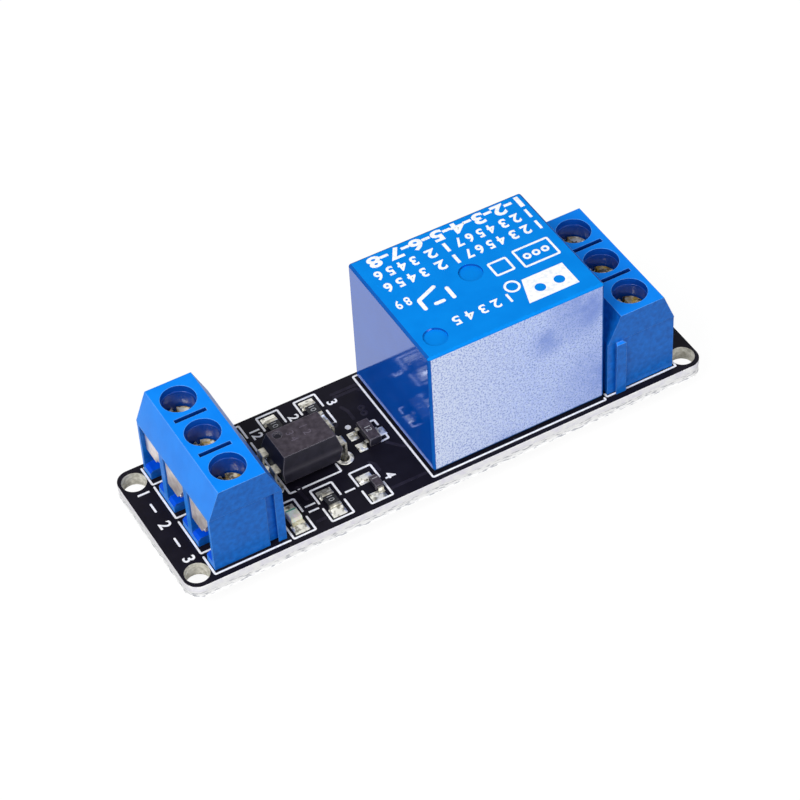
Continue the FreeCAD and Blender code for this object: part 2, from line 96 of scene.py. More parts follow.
def add(tree, kind, inputs=None, **settings):
    """One node with its settings; an input is a value or the socket that feeds it."""
    node = tree.nodes.new(kind)
    for name, value in settings.items():
        setattr(node, name, value)
    for key, value in (inputs or {}).items():
        if isinstance(value, bpy.types.NodeSocket):
            tree.links.new(value, node.inputs[key])
        else:
            node.inputs[key].default_value = value
    return node


def start_material(name, **values):
    """A new material, its tree, its shader and the object coordinates."""
    material = bpy.data.materials.new(name)
    material.use_nodes = True
    tree = material.node_tree
    shader = tree.nodes["Principled BSDF"]
    for key, value in values.items():
        shader.inputs[key.replace("_", " ")].default_value = value
    place = add(tree, "ShaderNodeTexCoord").outputs["Object"]
    return material, tree, shader, place


def two_tones(tree, shader, place, first, second, patch_mm, low=0.35, high=0.65, detail=3.0):
    """Drifts the base colour between two tones over patches of a real size."""
    patches = add(tree, "ShaderNodeTexNoise",
                  {"Vector": place, "Scale": 1 / (patch_mm * MM), "Detail": detail})
    share = add(tree, "ShaderNodeMapRange", {"Value": patches.outputs[0], "From Min": low, "From Max": high})
    tone = add(tree, "ShaderNodeMix", {0: share.outputs[0], 6: srgb(first), 7: srgb(second)},
               data_type="RGBA")
    tree.links.new(tone.outputs[2], shader.inputs["Base Color"])
    return tone.outputs[2]


def grain(tree, shader, place, grain_mm, depth_mm, edge_mm=0.06, detail=2.0):
    """A fine grain of a real size and depth over edges that are softly broken."""
    edge = add(tree, "ShaderNodeBevel", {"Radius": edge_mm * MM}, samples=4)
    grit = add(tree, "ShaderNodeTexNoise", {"Vector": place, "Scale": 1 / (grain_mm * MM), "Detail": detail})
    bump = add(tree, "ShaderNodeBump",
               {"Height": grit.outputs[0], "Distance": depth_mm * MM, "Normal": edge.outputs[0]})
    tree.links.new(bump.outputs[0], shader.inputs["Normal"])
    return edge.outputs[0]


def rubbed_edges(tree, shader, tone, edge, colour, strength):
    """Paints highlights into the base colour where the softened edge leaves the flat face."""
    flat = add(tree, "ShaderNodeNewGeometry").outputs["True Normal"]
    lean = add(tree, "ShaderNodeVectorMath", {0: edge, 1: flat}, operation="DOT_PRODUCT").outputs["Value"]
    share = add(tree, "ShaderNodeMapRange", {
        "Value": lean, "From Min": 0.99, "From Max": 0.94, "To Min": 0.0, "To Max": strength}).outputs[0]
    highlighted = add(tree, "ShaderNodeMix", {0: share, 6: tone, 7: srgb(colour)}, data_type="RGBA")
    tree.links.new(highlighted.outputs[2], shader.inputs["Base Color"])


def spotted(tree, shader, place, tone, colour, spot_mm, low, high, strength=0.85):
    """Lays spots of another colour and of a real size over a tone."""
    spots = add(tree, "ShaderNodeTexNoise", {"Vector": place, "Scale": 1 / (spot_mm * MM), "Detail": 2.0})
    share = add(tree, "ShaderNodeMapRange", {
        "Value": spots.outputs[0], "From Min": low, "From Max": high,
        "To Min": 0.0, "To Max": strength}).outputs[0]
    mixed = add(tree, "ShaderNodeMix", {0: share, 6: tone, 7: srgb(colour)}, data_type="RGBA")
    tree.links.new(mixed.outputs[2], shader.inputs["Base Color"])


def finish(name, tones, grit=None, painted_light=None, spots=None, **values):
    """A material of two tones, with spots, a grain and highlights painted along the edges where they are
    given.
    """
    material, tree, shader, place = start_material(name, **values)
    tone = two_tones(tree, shader, place, *tones)
    if spots:
        spotted(tree, shader, place, tone, *spots)
    if grit:
        edge = grain(tree, shader, place, *grit)
    if painted_light:
        rubbed_edges(tree, shader, tone, edge, *painted_light)
    return material


# Materials that one drift of tone can't show

def frosted_pbt():
    # The case's PBT, frosted: a pale lavender bloom of fine specks, the lavender a painted highlight, with
    # darker patches of painted shade
    material, tree, shader, place = start_material(
        "relay_case_pbt_frosted", Roughness=0.5, IOR=1.5, Specular_IOR_Level=0.7,
        Sheen_Weight=0.8, Sheen_Roughness=0.5, Sheen_Tint=srgb("A8C0FF"))
    mottle = two_tones(tree, shader, place, "B4C6FF", "D4E2FF", 0.3, 0.3, 0.7, 3.0)
    # A painted highlight, thickest towards the left end
    along = add(tree, "ShaderNodeSeparateXYZ", {0: place}).outputs["X"]
    left_highlight = add(tree, "ShaderNodeMapRange", {
        "Value": along, "From Min": 9.0 * MM, "From Max": case_low.x * MM,
        "To Min": 0.0, "To Max": 0.6}).outputs[0]
    tone = add(tree, "ShaderNodeMix", {0: left_highlight, 6: mottle, 7: srgb("F0F6FF")}, data_type="RGBA").outputs[2]
    # Patches of painted shade as (x, z), radius and depth, the strongest one showing where they meet
    painted_light = None
    for (x, z), radius, depth in (((15.0, 14.8), 6.0, 1.0), ((11.2, 12.6), 3.0, 0.95),
                                  ((17.6, 5.0), 8.0, 0.8), ((6.0, 1.6), 2.4, 0.4)):
        centre = Vector((x, case_low.y, z)) * MM
        away = add(tree, "ShaderNodeVectorMath", {0: place, 1: centre}, operation="DISTANCE")
        spot = add(tree, "ShaderNodeMapRange", {
            "Value": away.outputs["Value"], "From Min": 0.0, "From Max": radius * MM, "To Min": depth,
            "To Max": 0.0}, interpolation_type="SMOOTHSTEP").outputs[0]
        if painted_light is None:
            painted_light = spot
        else:
            painted_light = add(tree, "ShaderNodeMath", {0: painted_light, 1: spot}, operation="MAXIMUM").outputs[0]
    clouds = add(tree, "ShaderNodeTexNoise", {"Vector": place, "Scale": 1 / (1.6 * MM), "Detail": 5.0})
    broken = add(tree, "ShaderNodeMapRange", {
        "Value": clouds.outputs[0], "From Min": 0.3, "From Max": 0.7,
        "To Min": 0.45, "To Max": 1.0}).outputs[0]
    share = add(tree, "ShaderNodeMath", {0: painted_light, 1: broken}, operation="MULTIPLY").outputs[0]
    shaded = add(tree, "ShaderNodeMix", {0: share, 6: tone, 7: srgb("5F80D6")}, data_type="RGBA")
    spotted(tree, shader, place, shaded.outputs[2], "728CD2", 0.17, 0.5, 0.62)
    grain(tree, shader, place, 0.2, 0.02, detail=3.0)
    return material


def glass_laminate():
    # Glass-fibre epoxy laminate, routed above and snapped off below: whitish, with greyish broken streaks
    material, tree, shader, place = start_material("glass_epoxy_laminate", Roughness=0.65)
    tone = two_tones(tree, shader, place, "F0EEF8", "FFFFFF", 0.8)
    height = add(tree, "ShaderNodeSeparateXYZ", {0: place}).outputs["Z"]
    # Streaks lie along the board, so the pattern is drawn out sideways
    drawn = add(tree, "ShaderNodeMapping", {"Vector": place, "Scale": (0.35, 0.35, 1.6)}).outputs[0]
    fibre = add(tree, "ShaderNodeTexNoise", {"Vector": drawn, "Scale": 1 / (0.3 * MM), "Detail": 3.0})
    marks = add(tree, "ShaderNodeMapRange", {"Value": fibre.outputs[0], "From Min": 0.36, "From Max": 0.5})
    grey = add(tree, "ShaderNodeMix", {0: marks.outputs[0], 6: srgb("B4B6BD"), 7: srgb("FFFFFF")},
               data_type="RGBA")
    ragged = add(tree, "ShaderNodeTexNoise", {"Vector": place, "Scale": 1 / (0.8 * MM), "Detail": 3.0})
    wander = add(tree, "ShaderNodeMath", {0: ragged.outputs[0], 1: 0.6 * MM, 2: height},
                 operation="MULTIPLY_ADD")
    snapped = add(tree, "ShaderNodeMapRange", {
        "Value": wander.outputs[0], "From Min": 1.0 * MM, "From Max": 1.1 * MM, "To Min": 1.0, "To Max": 0.0})
    edge = add(tree, "ShaderNodeMix", {0: snapped.outputs[0], 6: tone, 7: grey.outputs[2]}, data_type="RGBA")
    tree.links.new(edge.outputs[2], shader.inputs["Base Color"])
    bump = add(tree, "ShaderNodeBump", {"Height": fibre.outputs[0], "Distance": 0.02 * MM})
    tree.links.new(bump.outputs[0], shader.inputs["Normal"])
    return material


def enamelled_wire():
    # Fine enamelled copper wire, wound in layers: amber copper with a turn every 0.3 mm so that it shows
    material, tree, shader, place = start_material("enamelled_copper_wire", Metallic=0.7, Roughness=0.3)
    turns = add(tree, "ShaderNodeTexWave", {"Vector": place, "Scale": 1 / (0.3 * MM) / 6.283},
                wave_type="BANDS", bands_direction="Z").outputs["Fac"]
    tone = add(tree, "ShaderNodeMix", {0: turns, 6: srgb("7A3312"), 7: srgb("D0743A")}, data_type="RGBA")
    tree.links.new(tone.outputs[2], shader.inputs["Base Color"])
    bump = add(tree, "ShaderNodeBump", {"Height": turns, "Distance": 0.05 * MM})
    tree.links.new(bump.outputs[0], shader.inputs["Normal"])
    return material


# Materials: tones are two colours and the patch size in mm; grit is the grain's size and depth in mm, then
# the width of the broken edge; then come the colour and strength of the highlight painted along the edges;
# spots are a colour, its patch size in mm and the noise levels between which it comes in

# Moulded PBT polyester, polished tool: an even saturated blue with hardly any sheen from above
CASE_TOP = finish("relay_case_pbt_top", ("0483E4", "0689EA", 2.4), (0.35, 0.003),
                  Roughness=0.4, IOR=1.5, Specular_IOR_Level=0.02)
# The same PBT where the tool was mirror-polished: a deep blue, darker than the top as painted shade, under a
# clear bluish reflection
CASE_SIDE_SHADE = finish("relay_case_pbt_polished", ("0054C0", "005CCB", 5.0), (3.0, 0.006, 0.02, 1.0),
                   Roughness=0.08, IOR=1.85, Specular_IOR_Level=1.0, Specular_Tint=srgb("C6D6FF"))
# The same PBT at its rounded corners, dull: a deep blue that is painted shade, without a highlight
CASE_EDGE_SHADE = finish("relay_case_pbt_edges", ("0A56AE", "0C5EB8", 1.5), (0.35, 0.003),
                   Roughness=0.45, IOR=1.5, Specular_IOR_Level=0.08)
CASE_NEAR = frosted_pbt()
# White two-part pad-printing ink, slightly broken at its thin spots
PRINT = finish("white_pad_printing_ink", ("E6EEF8", "FFFFFF", 0.35, 0.3, 0.5), (0.1, 0.003, 0.01),
               Roughness=0.55, Specular_IOR_Level=0.2)
# Moulded polyamide 66, satin: bright blue with a soft sheen and a pale highlight painted along its edges
TERMINAL_SIDE = finish("terminal_polyamide", ("0A84F2", "0E8CFA", 2.4), (0.25, 0.006, 0.1), ("A8D8FF", 0.35),
                       Roughness=0.36, IOR=1.53, Specular_IOR_Level=0.25)
# The same polyamide on the tops, finely textured by the tool: an even matt blue with a pale highlight painted
# along its edges
TERMINAL_TOP = finish("terminal_polyamide_top", ("0883F2", "0C89F8", 2.4), (0.25, 0.006, 0.1),
                      ("B4E0FF", 0.4), Roughness=0.5, IOR=1.53, Specular_IOR_Level=0.05)
# The same polyamide on the end and inner walls: deeper, as painted shade, and finely mottled, with a
# highlight painted along its edges
TERMINAL_END_SHADE = finish("terminal_polyamide_ends", ("0257AE", "0A6CCC", 0.5, 0.3, 0.7, 4.0), (0.25, 0.008, 0.1),
                      ("7FB4F0", 0.3), Roughness=0.42, IOR=1.53, Specular_IOR_Level=0.25)
# The same polyamide on the bored well and slit walls, glossy from the polished pin: a deep blue that is
# painted shade, with mirrored light
WELL_WALL_SHADE = finish("terminal_polyamide_wells", ("043E98", "0648A8", 1.5), (0.8, 0.008, 0.05),
                   Roughness=0.2, IOR=1.55, Specular_IOR_Level=0.4)
# The same polyamide on the floors inside the wire entries: a deeper saturated blue, painted shade with
# painted light that comes through the plastic
TERMINAL_TRAY_SHADE = finish("terminal_polyamide_trays", ("004CD6", "0056E4", 1.5), (0.25, 0.006, 0.05),
                       Roughness=0.4, IOR=1.53, Specular_IOR_Level=0.08)
# Black epoxy solder mask over woven glass laminate: nearly black, faintly violet, semi-gloss
MASK = finish("black_solder_mask", ("15131C", "1A1822", 1.6), (0.5, 0.003, 0.02),
              Roughness=0.32, IOR=1.5, Specular_IOR_Level=0.07)
# The same mask where copper lies under it: a shade paler, so that the tracks show
COVERED_COPPER = finish("black_mask_over_copper", ("1F1C28", "292632", 0.8), (0.4, 0.003, 0.02),
                        Roughness=0.3, IOR=1.5, Specular_IOR_Level=0.1)
LAMINATE = glass_laminate()
# The same laminate in a bare drilled hole: cream with grey drill rings
DRILLED = finish("drilled_laminate", ("B9B6A8", "EDEADF", 0.4), (0.12, 0.02, 0.02), Roughness=0.5)
# White epoxy legend ink on the board: matt, a little uneven
LEGEND = finish("white_legend_ink", ("E4E5EA", "FCFCFE", 0.3), (0.08, 0.006, 0.01),
                Roughness=0.6, Specular_IOR_Level=0.2)
# Laser marking on black epoxy: a faint grey
MARKING = finish("laser_marking", ("57505B", "68616C", 0.15), Roughness=0.7, Specular_IOR_Level=0.1)
# Marking ink on the glazed chips: pale grey
CHIP_INK = finish("pale_chip_marking", ("8F9092", "B4B5B6", 0.1), Roughness=0.6, Specular_IOR_Level=0.1)
# Tin-plated copper lead frame, trimmed and a little dull: greyer than the stamped strip
LEADS = finish("tin_plated_leads", ("8F8B80", "E4E0D2", 0.5, 0.32, 0.62), (0.25, 0.02, 0.05),
               Metallic=0.85, Roughness=0.36)
# Moulded epoxy on its sand-textured top: a warm charcoal, lighter than the sides as a painted sheen, with a
# pale highlight painted along its edges
EPOXY_TOP_SHEEN = finish("moulded_epoxy_top", ("352F36", "4B444C", 0.5), (0.12, 0.012, 0.1), ("9A959D", 0.6),
                   Roughness=0.6, IOR=1.5, Specular_IOR_Level=0.2)
# Polarity mark on the lamp chips: a soft green
LAMP_MARK = finish("green_mark_ink", ("3E9A78", "63B795", 0.2), Roughness=0.5)

finish_of_slot = {
    "board_laminate": MASK,
    "relay_case": CASE_SIDE_SHADE,
    # Moulded PBT floor of the relay, darker and duller than its case
    "relay_base": finish("relay_floor_pbt", ("084C8C", "0A5A9E", 2.0), (0.3, 0.02, 0.1), Roughness=0.5),
    "terminal_plastic": TERMINAL_SIDE,
    # Stamped brass strip with a bright tin coat, lightly brushed, faintly rosy where the brass shows through
    "tinned_metal": finish("tinned_brass", ("E4D6D4", "FBF4F2", 0.7), (0.12, 0.008, 0.05),
                           Metallic=0.75, Roughness=0.34),
    # Zinc-plated steel with a yellow passivation: cream and gold in random patches, with brown spots
    "screw_metal": finish("yellow_passivated_steel", ("D2AC4A", "FFFAE0", 0.7, 0.36, 0.6), (0.5, 0.03, 0.1),
                          spots=("4A3912", 0.6, 0.54, 0.6), Metallic=0.45, Roughness=0.18),
    # Reflowed solder: bright cream, smooth, with a few darker frozen ripples
    "solder": finish("reflowed_solder", ("9A978A", "FFFDF4", 0.5, 0.36, 0.5), (0.6, 0.06, 0.04),
                     Metallic=0.8, Roughness=0.3),
    "coil_wire": enamelled_wire(),
    # Soft magnetic iron with a dull nickel plate: an even grey
    "soft_iron": finish("nickel_plated_iron", ("B2B2AF", "C9C9C6", 0.8), (0.2, 0.01),
                        Metallic=0.9, Roughness=0.35),
    # Natural nylon bobbin: warm ivory
    "bobbin_plastic": finish("natural_nylon", ("D6D0BE", "E8E3D4", 1.5), (0.3, 0.01), Roughness=0.45),
    # Rolled phosphor bronze strip: a warm copper shine
    "spring_metal": finish("phosphor_bronze", ("B97A4B", "D49A68", 0.8), (0.15, 0.006),
                           Metallic=1.0, Roughness=0.28),
    # Silver alloy contact: white and bright
    "contact_silver": finish("silver_alloy", ("D9D8D2", "F0EFEA", 0.3), (0.1, 0.004),
                             Metallic=1.0, Roughness=0.2),
    # Tinned brass blade, worn warm at its edges
    "blade_metal": finish("tinned_blade", ("C9BFA4", "E0DAC8", 0.5), (0.15, 0.008),
                          Metallic=0.9, Roughness=0.32),
    # Transfer-moulded black epoxy, its drafted sides polished: nearly black, with a paler highlight painted
    # along its edges
    "black_epoxy": finish("moulded_black_epoxy", ("1C1B25", "25232E", 0.8), (0.12, 0.008, 0.12),
                          ("8C8790", 0.7), Roughness=0.45, IOR=1.5, Specular_IOR_Level=0.18),
    # Black overglaze on a thick-film chip: glassy and domed by surface tension
    "resistor_film": finish("thick_film_glaze", ("16171C", "22232A", 0.5), (0.3, 0.01, 0.08),
                            Roughness=0.2, Specular_IOR_Level=0.35),
    # White filled resin under the lamp chips, yellowed by the oven
    "lamp_base": finish("white_lamp_resin", ("CFC7A0", "F2EFDC", 0.4), (0.12, 0.008, 0.05), Roughness=0.5),
    # Milky epoxy lens that lets a little light in
    "lamp_lens": finish("milky_epoxy_lens", ("E9E8D2", "FBFAF0", 0.5), (0.4, 0.01, 0.1),
                        Roughness=0.18, Subsurface_Weight=0.4, Subsurface_Scale=0.0006),
}
SOLDER = finish_of_slot["solder"]


# Mesh work, all in millimetres until a mesh is written

def write_mesh(bm, name, materials):
    """Turns a bmesh in millimetres into a mesh in metres with its materials."""
    for vertex in bm.verts:
        vertex.co *= MM
    mesh = bpy.data.meshes.new(name)
    bm.to_mesh(mesh)
    bm.free()
    for material in materials:
        mesh.materials.append(material)
    return mesh


def loose_object(data):
    piece = bpy.data.objects.new(data.name, data)
    bpy.context.collection.objects.link(piece)
    return piece


def applied_mesh(piece, name):
    """The piece's mesh with its modifiers applied; the piece itself is removed."""
    depsgraph = bpy.context.evaluated_depsgraph_get()
    mesh = bpy.data.meshes.new_from_object(piece.evaluated_get(depsgraph), depsgraph=depsgraph)
    mesh.name = name
    bpy.data.objects.remove(piece)
    return mesh


def smooth_shaded(mesh):
    """Smooth shading with sharp edges kept, in which the large flat faces stay flat."""
    mesh.polygons.foreach_set("use_smooth", [True] * len(mesh.polygons))
    mesh.set_sharp_from_angle(angle=SHARP_EDGE)
    piece = loose_object(mesh)
    weights = piece.modifiers.new("flat_faces", "WEIGHTED_NORMAL")
    weights.keep_sharp = True
    return applied_mesh(piece, mesh.name)


def place_piece(mesh, name, slot, nodes=(), body="board"):
    """Makes a finished piece of a mesh: on its body, in place of its nodes; the slot is not used."""
    piece = bpy.data.objects.new(name, smooth_shaded(mesh))
    bpy.context.collection.objects.link(piece)
    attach(piece, body)
    if nodes:
        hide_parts(*nodes)


def cleaned(bm):
    """Merges doubled corners and turns all faces outward."""
    bmesh.ops.remove_doubles(bm, verts=bm.verts, dist=MERGE_DISTANCE)
    bmesh.ops.recalc_face_normals(bm, faces=bm.faces)
    return bm


def copy_of(node):
    """A copy of a CAD node's mesh in millimetres, whose flat faces are whole again."""
    bm = bmesh.new()
    bm.from_mesh(frame["nodes"][node].data)
    for vertex in bm.verts:
        vertex.co /= MM
    bmesh.ops.remove_doubles(bm, verts=bm.verts, dist=MERGE_DISTANCE)
    bmesh.ops.dissolve_limit(bm, angle_limit=math.radians(1), verts=bm.verts, edges=bm.edges)
    return bm


def rounded(node, width, segments=2, finishes=(), finish_of_face=None):
    """A copy of a CAD node with its edges rounded, which then stands for the node."""
    name = node + "_finished"
    slot = slot_of[node]
    piece = loose_object(write_mesh(copy_of(node), node + "_rounding", [finish_of_slot[slot], *finishes]))
    bevel = piece.modifiers.new("edges", "BEVEL")
    bevel.width = width * MM
    bevel.segments = segments
    bevel.limit_method = "ANGLE"
    bevel.angle_limit = SHARP_EDGE
    mesh = applied_mesh(piece, name)
    if finish_of_face:
        for face in mesh.polygons:
            face.material_index = finish_of_face(face.center / MM, face.normal)
    place_piece(mesh, name, slot, [node], body_of[node])


def flat_shape(loops, z0, z1):
    """A flat plate with the outlines given; loops inside the first one are holes."""
    curve = bpy.data.curves.new("outline", "CURVE")
    curve.dimensions = "2D"
    curve.fill_mode = "BOTH"
    curve.extrude = (z1 - z0) / 2
    for loop in loops:
        spline = curve.splines.new("POLY")
        spline.points.add(len(loop) - 1)
        for point, (x, y) in zip(spline.points, loop):
            point.co = (x, y, 0, 1)
        spline.use_cyclic_u = True
    bm = bmesh.new()
    bm.from_mesh(applied_mesh(loose_object(curve), "outline"))
    bmesh.ops.translate(bm, verts=bm.verts, vec=(0, 0, (z0 + z1) / 2))
    return cleaned(bm)


def circle(x, y, radius, steps=32):
    turn = 2 * math.pi / steps
    return [(x + radius * math.cos(i * turn), y + radius * math.sin(i * turn)) for i in range(steps)]


def revolve(profile, steps):
    """Spins a closed profile of (radius, height) points about the upright axis."""
    bm = bmesh.new()
    verts = [bm.verts.new((radius, 0, z)) for radius, z in profile]
    edges = [bm.edges.new((a, b)) for a, b in zip(verts, verts[1:] + verts[:1])]
    bmesh.ops.spin(bm, geom=verts + edges, cent=(0, 0, 0), axis=(0, 0, 1), angle=2 * math.pi,
                   steps=steps, use_merge=True, use_duplicate=False)
    return cleaned(bm)


# Geometry node trees

def new_tree(name, sockets):
    tree = bpy.data.node_groups.new(name, "GeometryNodeTree")
    tree.interface.new_socket("Geometry", in_out="INPUT", socket_type="NodeSocketGeometry")
    for socket, kind in sockets:
        tree.interface.new_socket(socket, in_out="INPUT", socket_type=kind)
    tree.interface.new_socket("Geometry", in_out="OUTPUT", socket_type="NodeSocketGeometry")
    return tree, add(tree, "NodeGroupInput").outputs


def close_tree(tree, geometry, material):
    whole = add(tree, "GeometryNodeRealizeInstances", {"Geometry": geometry})
    painted = add(tree, "GeometryNodeSetMaterial", {"Geometry": whole.outputs[0], "Material": material})
    add(tree, "NodeGroupOutput", {"Geometry": painted.outputs[0]})
    return tree


def traced_line_tree():
    """A flat line with round ends and corners along each path of edges."""
    tree, given = new_tree("traced_line", [
        ("Width", "NodeSocketFloat"), ("Height", "NodeSocketFloat"), ("Material", "NodeSocketMaterial")])
    radius = add(tree, "ShaderNodeMath", {0: given["Width"], 1: 0.5}, operation="MULTIPLY").outputs[0]
    path = add(tree, "GeometryNodeMeshToCurve", {"Mesh": given["Geometry"]})
    bend = add(tree, "GeometryNodeFilletCurve",
               {"Curve": path.outputs[0], "Count": 4, "Radius": radius, "Limit Radius": True}, mode="POLY")
    level = add(tree, "GeometryNodeSetCurveNormal", {"Curve": bend.outputs[0]}, mode="Z_UP")
    section = add(tree, "GeometryNodeCurvePrimitiveQuadrilateral",
                  {"Width": given["Width"], "Height": given["Height"]})
    line = add(tree, "GeometryNodeCurveToMesh",
               {"Curve": level.outputs[0], "Profile Curve": section.outputs[0], "Fill Caps": True})
    low = add(tree, "ShaderNodeMath", {0: given["Height"], 1: 0.96}, operation="MULTIPLY").outputs[0]
    dot = add(tree, "GeometryNodeMeshCylinder", {"Vertices": 14, "Radius": radius, "Depth": low})
    ends = add(tree, "GeometryNodeCurveEndpointSelection")
    caps = add(tree, "GeometryNodeInstanceOnPoints",
               {"Points": level.outputs[0], "Selection": ends.outputs[0], "Instance": dot.outputs["Mesh"]})
    both = add(tree, "GeometryNodeJoinGeometry")
    for part in (line, caps):
        tree.links.new(part.outputs[0], both.inputs[0])
    return close_tree(tree, both.outputs[0], given["Material"])


def set_at_places_tree():
    """A copy of the pattern at each point, turned and sized by the point's own values."""
    tree, given = new_tree("set_at_places", [
        ("Pattern", "NodeSocketObject"), ("Material", "NodeSocketMaterial")])
    pattern = add(tree, "GeometryNodeObjectInfo", {"Object": given["Pattern"]})
    turn = add(tree, "GeometryNodeInputNamedAttribute", {"Name": "turn"}, data_type="FLOAT_VECTOR")
    size = add(tree, "GeometryNodeInputNamedAttribute", {"Name": "size"}, data_type="FLOAT_VECTOR")
    copies = add(tree, "GeometryNodeInstanceOnPoints", {
        "Points": given["Geometry"], "Instance": pattern.outputs["Geometry"],
        "Rotation": turn.outputs["Attribute"], "Scale": size.outputs["Attribute"]})
    return close_tree(tree, copies.outputs[0], given["Material"])


TRACED_LINE = traced_line_tree()
SET_AT_PLACES = set_at_places_tree()


def run_tree(piece, tree, values, name):
    """Runs a tree on a piece and gives back the plain mesh that it makes."""
    modifier = piece.modifiers.new("nodes", "NODES")
    modifier.node_group = tree
    for item in tree.interface.items_tree:
        if item.in_out == "INPUT" and item.name in values:
            modifier[item.identifier] = values[item.name]
    return applied_mesh(piece, name)


def trace(paths, closed, width, z, height, material, name):
    """Flat lines of one width along paths of (x, y) points that lie at height z."""
    bm = bmesh.new()
    for points in paths:
        verts = [bm.verts.new((x, y, z + height / 2)) for x, y in points]
        for a, b in zip(verts, verts[1:]):
            bm.edges.new((a, b))
        if closed:
            bm.edges.new((verts[-1], verts[0]))
    piece = loose_object(write_mesh(bm, name + "_paths", []))
    values = {"Width": width * MM, "Height": height * MM, "Material": material}
    return run_tree(piece, TRACED_LINE, values, name)


def on_board(points):
    """Places for copies that stand upright and full size on the board."""
    return [((x, y, TOP), 0, (1, 1, 1)) for x, y in points]


def set_at(pattern, places, material, name):
    """Copies of a pattern mesh at places of (position, turn about Z, size)."""
    model = loose_object(pattern)
    mesh = bpy.data.meshes.new(name + "_places")
    mesh.from_pydata([Vector(position) * MM for position, turn, size in places], [], [])
    turns = mesh.attributes.new("turn", "FLOAT_VECTOR", "POINT")
    sizes = mesh.attributes.new("size", "FLOAT_VECTOR", "POINT")
    for index, (position, turn, size) in enumerate(places):
        turns.data[index].vector = (0, 0, turn)
        sizes.data[index].vector = size
    result = run_tree(loose_object(mesh), SET_AT_PLACES, {"Pattern": model, "Material": material}, name)
    bpy.data.objects.remove(model)
    return result


def joined(meshes, name):
    """One mesh of several that share their materials."""
    bm = bmesh.new()
    for mesh in meshes:
        bm.from_mesh(mesh)
    whole = bpy.data.meshes.new(name)
    bm.to_mesh(whole)
    bm.free()
    for material in meshes[0].materials:
        whole.materials.append(material)
    return whole


def lettering(text, corner, height, along, depth, bold, material, width=None):
    """Plain digits as a flat mesh. The corner is their lower left one, the height is that of a digit,
    and their tops lie to the left of the reading direction."""
    curve = bpy.data.curves.new("digits", "FONT")
    curve.body = text
    curve.resolution_u = 3
    curve.offset = bold
    curve.extrude = 0.5
    bm = bmesh.new()
    bm.from_mesh(applied_mesh(loose_object(curve), "digits"))
    cleaned(bm)
    xs = [vertex.co.x for vertex in bm.verts]
    ys = [vertex.co.y for vertex in bm.verts]
    scale_y = height / (max(ys) - min(ys))
    scale_x = width / (max(xs) - min(xs)) if width else scale_y
    along = Vector((*along, 0))
    up = Vector((-along.y, along.x, 0))
    for vertex in bm.verts:
        x = (vertex.co.x - min(xs)) * scale_x
        y = (vertex.co.y - min(ys)) * scale_y
        vertex.co = Vector(corner) + along * x + up * y + Vector((0, 0, (vertex.co.z + 0.5) * depth))
    return write_mesh(bm, "digits", [material])


# Board panel

PIN_CLEARANCE = 0.12
LEAD_CLEARANCE = 0.24
PIN_SPREAD = 1.4


def pin_feet(node, clearance):
    """Centre of each pin end that a node has under the board, and the radius of its hole."""
    low = span(node)[0].z + 0.01
    groups = []
    for vertex in frame["nodes"][node].data.vertices:
        point = vertex.co / MM
        if point.z > low:
            continue
        for group in groups:
            if (group[0] - point).length < PIN_SPREAD:
                group.append(point)
                break
        else:
            groups.append([point])
    feet = []
    for group in groups:
        xs = [point.x for point in group]
        ys = [point.y for point in group]
        half_x = (max(xs) - min(xs)) / 2
        half_y = (max(ys) - min(ys)) / 2
        radius = math.hypot(half_x, half_y) + clearance
        feet.append(((min(xs) + max(xs)) / 2, (min(ys) + max(ys)) / 2, radius))
    return feet


pinned = ["coil_pin_1", "coil_pin_2", "common_terminal", "normally_closed_terminal", "normally_open_terminal"]
pinned += [f"{side}_contact_{number}" for side in ("input", "output") for number in (1, 2, 3)]
pins = [foot for node in pinned for foot in pin_feet(node, PIN_CLEARANCE)]
leads = pin_feet("optocoupler_leads", LEAD_CLEARANCE)

CORNER_RADIUS = 1.5
CORNER_STEPS = 8
CORNER_HOLE_RADIUS = 1.25
CORNER_HOLE_X = 26.95
CORNER_HOLE_Y = 6.75
HOLE_STEPS = 40
WALL_STEP = 0.3
BREAK_LEVEL = 0.62
WALL_LEVELS = (0.1, 0.35, BREAK_LEVEL, 0.95)
EDGE_BAND = 1.2


def panel_outline():
    """Points along the board's edge: straight sides and round corners."""
    x = board_high.x - CORNER_RADIUS
    y = board_high.y - CORNER_RADIUS
    outline = []
    for quarter, (corner_x, corner_y) in enumerate(((x, y), (-x, y), (-x, -y), (x, -y))):
        for i in range(CORNER_STEPS + 1):
            angle = (quarter + i / CORNER_STEPS) * math.pi / 2
            outline.append((corner_x + CORNER_RADIUS * math.cos(angle),
                            corner_y + CORNER_RADIUS * math.sin(angle)))
    return outline


def cut_walls(bm, step):
    """Cuts the straight outer walls into even steps, which leaves the other faces as they are."""
    for axis in (0, 1):
        other = 1 - axis
        along = Vector((other, axis, 0))
        count = int((board_high[axis] - CORNER_RADIUS) / step)
        for i in range(-count, count + 1):
            walls = [face for face in bm.faces if abs(face.normal[other]) > 0.99
                     and abs(face.calc_center_median()[other]) > board_high[other] - 0.01]
            parts = walls + list({part for face in walls for part in (*face.edges, *face.verts)})
            bmesh.ops.bisect_plane(bm, geom=parts, plane_co=along * i * step, plane_no=along)


